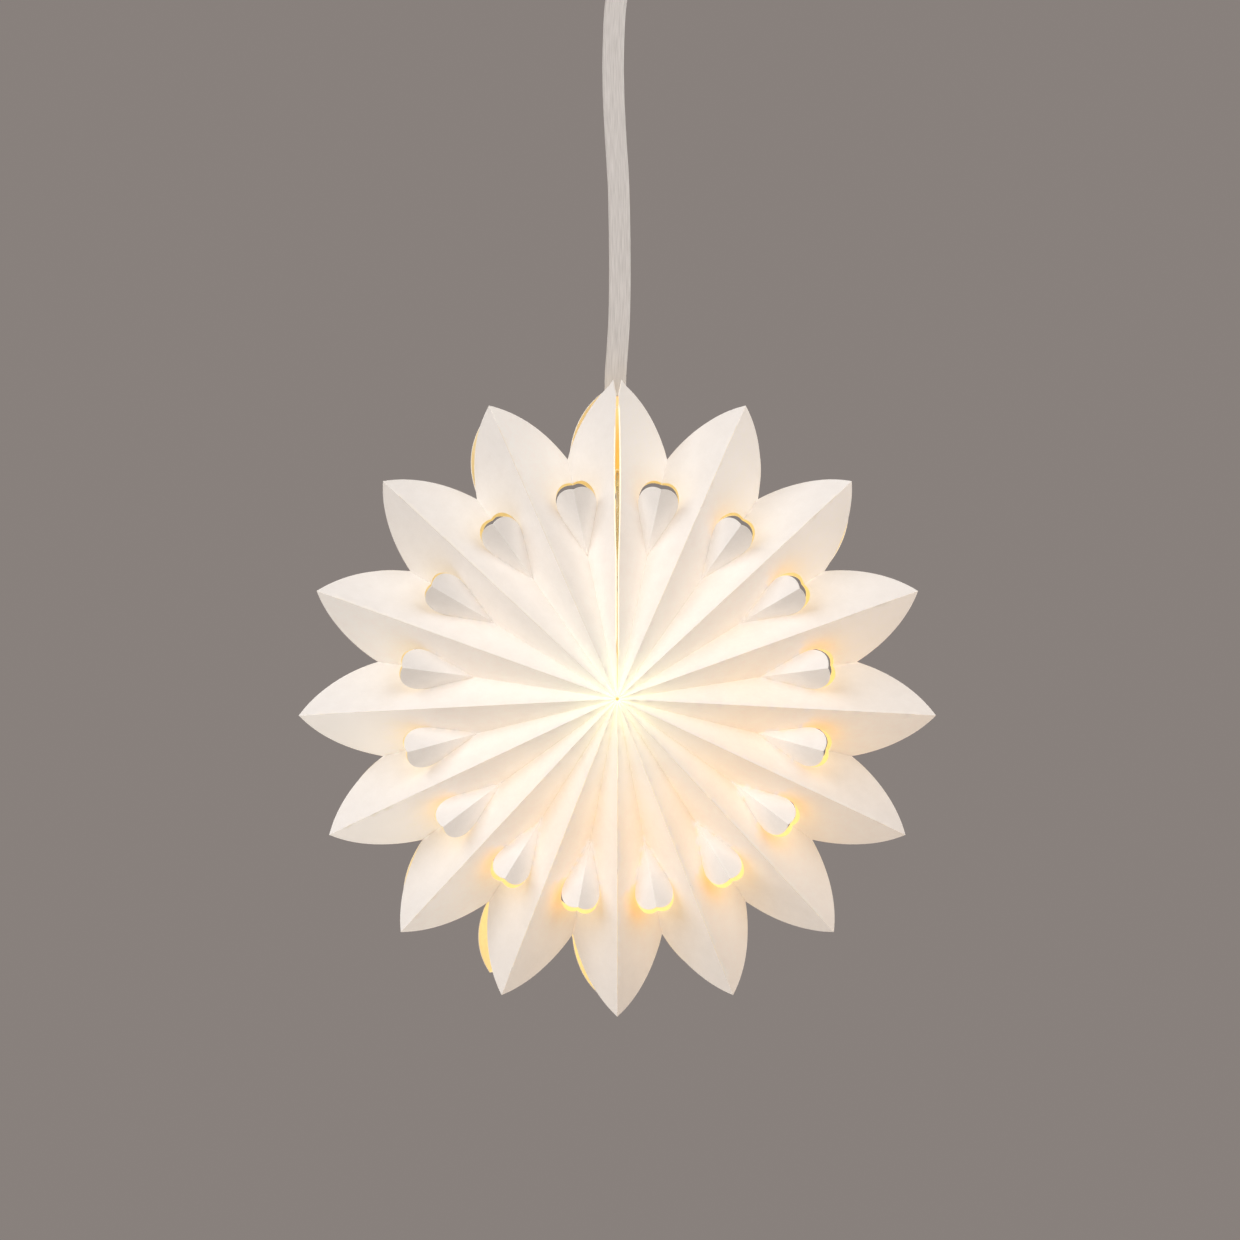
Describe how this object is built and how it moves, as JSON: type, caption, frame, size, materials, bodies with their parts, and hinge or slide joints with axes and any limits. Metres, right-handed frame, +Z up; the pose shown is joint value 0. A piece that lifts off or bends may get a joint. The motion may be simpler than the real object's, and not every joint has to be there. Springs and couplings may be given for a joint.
{
  "type": "hanging paper star lantern",
  "caption": "Folded paper star lantern with pointed petals, drop-shaped popped tongues, an opening seam, a flat hanging ribbon and a battery light inside.",
  "frame": {"origin": "centre of the loop at the ribbon's top end, from which the star hangs", "axes": "+Z up along the ribbon, +X to the right seen from the front, the front rosette faces -Y"},
  "size_m": [0.2892, 0.087, 0.4916],
  "materials": {
    "paper": "matte fibrous white paper, warm where the light shines through",
    "ribbon_weave": "flat woven satin ribbon, pale grey",
    "card": "stiff white card",
    "fastener": "white hook-and-loop",
    "wire": "bright wire",
    "case_plastic": "fine satin moulding",
    "switch_plastic": "satin",
    "cell_wrap": "gloss sleeve",
    "contact_brass": "stamped strip",
    "board": "solder mask",
    "led_lens": "clear lens",
    "globe_plastic": "frosted"
  },
  "bodies": {
    "root": {"front_module_01": "paper", "front_module_02": "paper", "front_module_03": "paper", "front_module_04": "paper", "front_module_05": "paper", "front_module_06": "paper", "front_module_07": "paper", "front_module_08": "paper", "front_module_09": "paper", "front_module_10": "paper", "front_module_11": "paper", "front_module_12": "paper", "front_module_13": "paper", "front_module_14": "paper", "back_module_01": "paper", "back_module_02": "paper", "back_module_03": "paper", "back_module_04": "paper", "back_module_05": "paper", "back_module_06": "paper", "back_module_07": "paper", "back_module_08": "paper", "back_module_09": "paper", "back_module_10": "paper", "back_module_11": "paper", "back_module_12": "paper", "back_module_13": "paper", "back_module_14": "paper", "front_left_fixed_panel": "paper", "front_right_fixed_panel": "paper", "back_left_fixed_panel": "paper", "back_right_fixed_panel": "paper", "hanger_card": "card", "ribbon": "ribbon_weave", "ribbon_loop": "ribbon_weave"},
    "front_left_panel": {"front_left_end_panel": "paper", "front_hook_dot": "fastener"},
    "front_left_tongue_in": {"front_left_tongue_inner": "paper"},
    "front_left_tongue_out": {"front_left_tongue_outer": "paper"},
    "front_right_panel": {"front_right_end_panel": "paper", "front_loop_dot": "fastener"},
    "front_right_tongue_in": {"front_right_tongue_inner": "paper"},
    "front_right_tongue_out": {"front_right_tongue_outer": "paper"},
    "back_left_panel": {"back_left_end_panel": "paper", "back_hook_dot": "fastener"},
    "back_left_tongue_in": {"back_left_tongue_inner": "paper"},
    "back_left_tongue_out": {"back_left_tongue_outer": "paper"},
    "back_right_panel": {"back_right_end_panel": "paper", "back_loop_dot": "fastener"},
    "back_right_tongue_in": {"back_right_tongue_inner": "paper"},
    "back_right_tongue_out": {"back_right_tongue_outer": "paper"},
    "light": {"light_hanger": "wire", "light_case": "case_plastic", "battery_cells": "cell_wrap", "battery_contacts": "contact_brass", "circuit_board": "board", "led": "led_lens", "diffuser_globe": "globe_plastic"},
    "cover": {"battery_cover": "case_plastic"},
    "switch": {"switch_slider": "switch_plastic"}
  },
  "joints": [
    {"name": "front_left_opening", "type": "hinge", "parent": "root", "child": "front_left_panel", "pos_m": [-0.01351, -0.01994, -0.27567], "axis": [0.193, -0.3438, -0.919], "range_deg": [0, 60]},
    {"name": "front_left_tongue_in_fold", "type": "hinge", "parent": "root", "child": "front_left_tongue_in", "pos_m": [-0.01351, -0.01994, -0.27567], "axis": [0.563, 0.0719, -0.8233], "range_deg": [0, 55.6]},
    {"name": "front_left_tongue_out_fold", "type": "hinge", "parent": "front_left_panel", "child": "front_left_tongue_out", "pos_m": [-0.01351, -0.01994, -0.27567], "axis": [0.1842, -0.0719, 0.9803], "range_deg": [0, 55.6]},
    {"name": "front_right_opening", "type": "hinge", "parent": "root", "child": "front_right_panel", "pos_m": [0.01351, -0.01994, -0.27567], "axis": [0.193, 0.3438, 0.919], "range_deg": [0, 60]},
    {"name": "front_right_tongue_in_fold", "type": "hinge", "parent": "root", "child": "front_right_tongue_in", "pos_m": [0.01351, -0.01994, -0.27567], "axis": [0.563, -0.0719, 0.8233], "range_deg": [0, 55.6]},
    {"name": "front_right_tongue_out_fold", "type": "hinge", "parent": "front_right_panel", "child": "front_right_tongue_out", "pos_m": [0.01351, -0.01994, -0.27567], "axis": [0.1842, 0.0719, -0.9803], "range_deg": [0, 55.6]},
    {"name": "back_left_opening", "type": "hinge", "parent": "root", "child": "back_left_panel", "pos_m": [-0.01351, 0.01994, -0.27567], "axis": [-0.193, -0.3438, 0.919], "range_deg": [0, 60]},
    {"name": "back_left_tongue_in_fold", "type": "hinge", "parent": "root", "child": "back_left_tongue_in", "pos_m": [-0.01351, 0.01994, -0.27567], "axis": [-0.563, 0.0719, 0.8233], "range_deg": [0, 55.6]},
    {"name": "back_left_tongue_out_fold", "type": "hinge", "parent": "back_left_panel", "child": "back_left_tongue_out", "pos_m": [-0.01351, 0.01994, -0.27567], "axis": [-0.1842, -0.0719, -0.9803], "range_deg": [0, 55.6]},
    {"name": "back_right_opening", "type": "hinge", "parent": "root", "child": "back_right_panel", "pos_m": [0.01351, 0.01994, -0.27567], "axis": [-0.193, 0.3438, -0.919], "range_deg": [0, 60]},
    {"name": "back_right_tongue_in_fold", "type": "hinge", "parent": "root", "child": "back_right_tongue_in", "pos_m": [0.01351, 0.01994, -0.27567], "axis": [-0.563, -0.0719, -0.8233], "range_deg": [0, 55.6]},
    {"name": "back_right_tongue_out_fold", "type": "hinge", "parent": "back_right_panel", "child": "back_right_tongue_out", "pos_m": [0.01351, 0.01994, -0.27567], "axis": [-0.1842, 0.0719, 0.9803], "range_deg": [0, 55.6]},
    {"name": "light_swing", "type": "hinge", "parent": "root", "child": "light", "pos_m": [0, 0, -0.237], "axis": [1, 0, 0], "range_deg": [-6, 6]},
    {"name": "cover_slide", "type": "slide", "parent": "light", "child": "cover", "axis": [0, 0, 1], "range_m": [0, 0.01]},
    {"name": "switch_slide", "type": "slide", "parent": "light", "child": "switch", "axis": [0, 0, 1], "range_m": [0, 0.002]}
  ],
  "couplings": [
    {"joint": "front_left_tongue_in_fold", "follows": "front_left_opening", "ratio": 0.9248},
    {"joint": "front_left_tongue_out_fold", "follows": "front_left_opening", "ratio": 0.9248},
    {"joint": "front_right_tongue_in_fold", "follows": "front_right_opening", "ratio": 0.9248},
    {"joint": "front_right_tongue_out_fold", "follows": "front_right_opening", "ratio": 0.9248},
    {"joint": "back_left_tongue_in_fold", "follows": "back_left_opening", "ratio": 0.9248},
    {"joint": "back_left_tongue_out_fold", "follows": "back_left_opening", "ratio": 0.9248},
    {"joint": "back_right_tongue_in_fold", "follows": "back_right_opening", "ratio": 0.9248},
    {"joint": "back_right_tongue_out_fold", "follows": "back_right_opening", "ratio": 0.9248}
  ]
}
